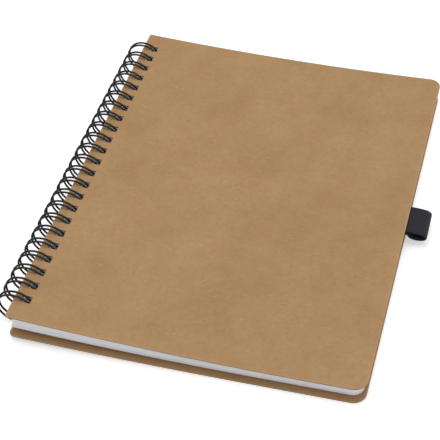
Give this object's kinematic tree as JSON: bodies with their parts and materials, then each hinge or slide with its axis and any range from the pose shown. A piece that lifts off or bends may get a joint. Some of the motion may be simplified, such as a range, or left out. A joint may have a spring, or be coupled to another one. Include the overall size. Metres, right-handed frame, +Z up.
{
  "type": "spiral notebook",
  "caption": "Closed wire-bound notebook with plain board covers, a block of leaves, a twin-loop wire and an elastic pen loop.",
  "frame": {"origin": "middle of the base, at the height of the surface it rests on", "axes": "+X from the binding to the fore-edge, +Y along the spine from the near end to the far end, +Z up through the closed covers"},
  "size_m": [0.1786, 0.21, 0.0179],
  "materials": {
    "kraft_board": "matt",
    "paper": "matt",
    "coated_wire": "semi-gloss",
    "elastic": "woven, matt"
  },
  "bodies": {
    "root": {"page_block": "paper", "wire_binding": "coated_wire"},
    "front": {"front_cover": "kraft_board", "pen_loop": "elastic"},
    "back": {"back_cover": "kraft_board"}
  },
  "joints": [
    {"name": "front_cover_hinge", "type": "hinge", "parent": "root", "child": "front", "pos_m": [-0.08041, 0, 0.00894], "axis": [0, -1, 0], "range_deg": [0, 180]},
    {"name": "back_cover_hinge", "type": "hinge", "parent": "root", "child": "back", "pos_m": [-0.08041, 0, 0.00894], "axis": [0, 1, 0], "range_deg": [0, 180]}
  ]
}
